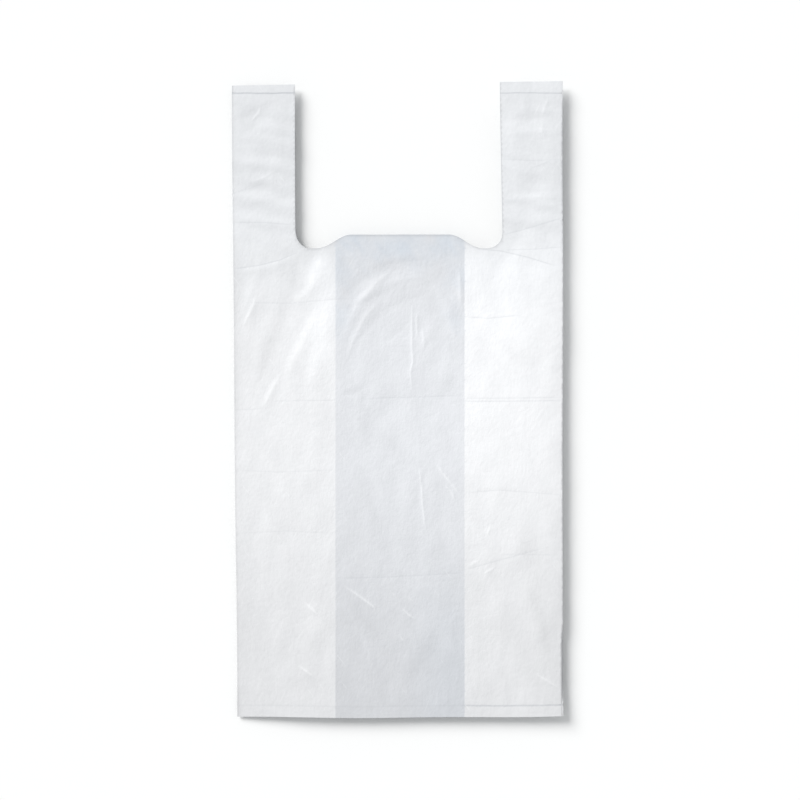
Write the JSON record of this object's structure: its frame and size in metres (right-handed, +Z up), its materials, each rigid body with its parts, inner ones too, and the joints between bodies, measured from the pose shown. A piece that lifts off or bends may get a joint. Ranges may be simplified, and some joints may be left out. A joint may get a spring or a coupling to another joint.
{
  "type": "plastic carrier bag",
  "caption": "Flat white vest-shaped carrier bag of thin plastic film, with tucked sides, a sealed bottom and a looped handle on each side of the open mouth.",
  "frame": {"origin": "under the middle of the bag, on the plane that its back panel lies on", "axes": "+X across the bag, +Y along it towards the handles, +Z up through the layers, out of the front panel"},
  "size_m": [0.3, 0.58, 0.0036],
  "materials": {
    "milky_film": "satin"
  },
  "bodies": {
    "root": {"bag": "milky_film"}
  },
  "joints": []
}
